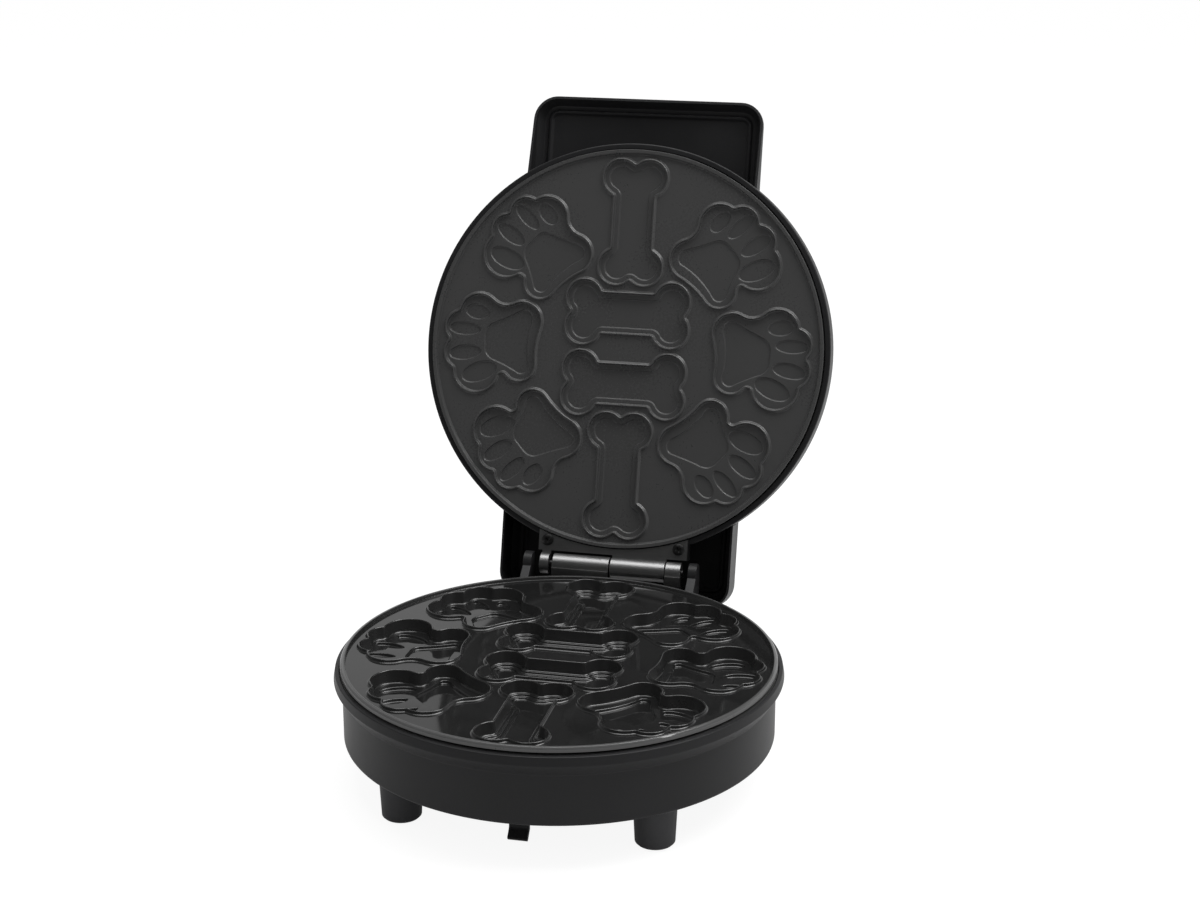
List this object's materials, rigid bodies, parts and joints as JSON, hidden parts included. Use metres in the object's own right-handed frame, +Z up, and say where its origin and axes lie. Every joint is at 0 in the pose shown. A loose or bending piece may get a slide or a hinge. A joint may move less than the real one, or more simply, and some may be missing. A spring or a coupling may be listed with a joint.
{
  "type": "dog treat maker",
  "caption": "Round hinged treat maker, lid open on its stops, with bone and paw cavities in both plates, short feet and a wide handle that runs over the lid as a hood.",
  "frame": {"origin": "middle of the footprint of the open appliance, on the surface that it stands on", "axes": "+Z up, +X to the cook's right, +Y back towards the hinge"},
  "size_m": [0.2086, 0.3126, 0.2835],
  "materials": {
    "case": "satin moulded black",
    "glossy_coat": "glossy black non-stick coat on cast aluminium",
    "matt_coat": "matt black non-stick coat on cast aluminium",
    "rubber": "matt black",
    "hinge_steel": "dark satin steel",
    "steel": "blackened",
    "heater_steel": "satin tube",
    "shield_steel": "mill sheet",
    "thermostat_body": "pale ceramic-like",
    "terminal_plastic": "pale heat-proof plastic",
    "power_lens": "clear red",
    "ready_lens": "clear green",
    "lamp_glass": "clear"
  },
  "bodies": {
    "base": {"base_housing": "case", "lower_plate": "glossy_coat", "lower_heater": "heater_steel", "lower_heat_shield": "shield_steel", "lower_thermostat": "thermostat_body", "lower_shield_screw": "steel", "lower_plate_screw_1": "steel", "lower_plate_screw_2": "steel", "lower_plate_screw_3": "steel", "lower_plate_screw_4": "steel", "thermal_fuse": "thermostat_body", "terminal_block": "terminal_plastic", "cord_inlet": "rubber", "front_left_foot": "case", "front_left_pad": "rubber", "front_left_foot_screw": "steel", "front_right_foot": "case", "front_right_pad": "rubber", "front_right_foot_screw": "steel", "rear_left_foot": "case", "rear_left_pad": "rubber", "rear_left_foot_screw": "steel", "rear_right_foot": "case", "rear_right_pad": "rubber", "rear_right_foot_screw": "steel", "front_cord_hook": "case", "rear_cord_hook": "case", "hinge_block": "case", "base_hinge_leaf": "hinge_steel", "base_hinge_screw_left": "steel", "base_hinge_screw_middle": "steel", "base_hinge_screw_right": "steel", "hinge_pin": "steel"},
    "lid": {"lid_housing": "case", "lid_band": "case", "upper_plate": "matt_coat", "upper_heater": "heater_steel", "upper_heat_shield": "shield_steel", "upper_thermostat": "thermostat_body", "upper_shield_screw": "steel", "upper_plate_screw_1": "steel", "upper_plate_screw_2": "steel", "upper_plate_screw_3": "steel", "upper_plate_screw_4": "steel", "lid_hinge_leaf": "hinge_steel", "lid_hinge_screw_left": "steel", "lid_hinge_screw_right": "steel", "power_light_lens": "power_lens", "ready_light_lens": "ready_lens", "power_lamp": "lamp_glass", "ready_lamp": "lamp_glass"}
  },
  "joints": [
    {"name": "lid_hinge", "type": "hinge", "parent": "base", "child": "lid", "pos_m": [0, 0.05896, 0.05966], "axis": [1, 0, 0], "range_deg": [0, 106.46]}
  ]
}
